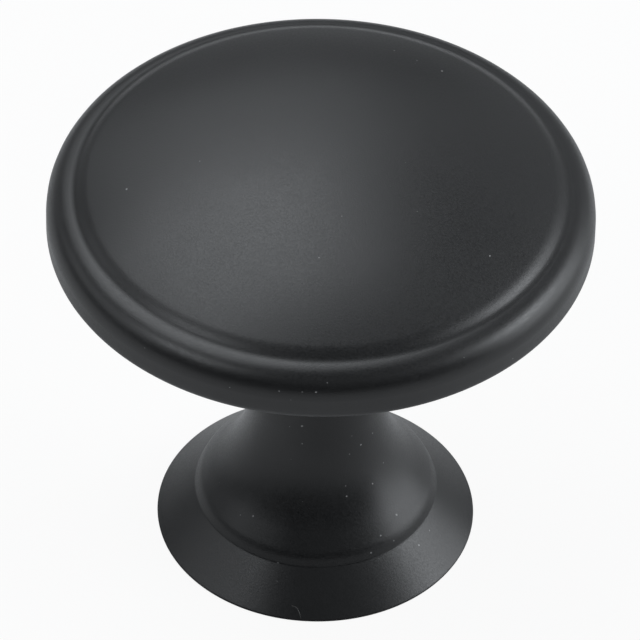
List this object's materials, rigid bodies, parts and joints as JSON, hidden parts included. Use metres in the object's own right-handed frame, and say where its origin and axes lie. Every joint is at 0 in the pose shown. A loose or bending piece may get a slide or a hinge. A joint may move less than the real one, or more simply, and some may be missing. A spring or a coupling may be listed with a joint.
{
  "type": "cabinet knob",
  "caption": "Round mushroom cabinet knob with a stepped, gently domed cap on a waisted stem and flared foot, tapped underneath for a mounting screw.",
  "frame": {"origin": "centre of the foot's flat mounting face, on the knob's axis", "axes": "+Z along the knob's axis, from the mounting face towards the domed cap; X and Y are any two directions across the face"},
  "size_m": [0.032, 0.032, 0.0293],
  "materials": {
    "black_coat": "matte black powder coat with a fine grain"
  },
  "bodies": {
    "root": {"knob": "black_coat"}
  },
  "joints": []
}
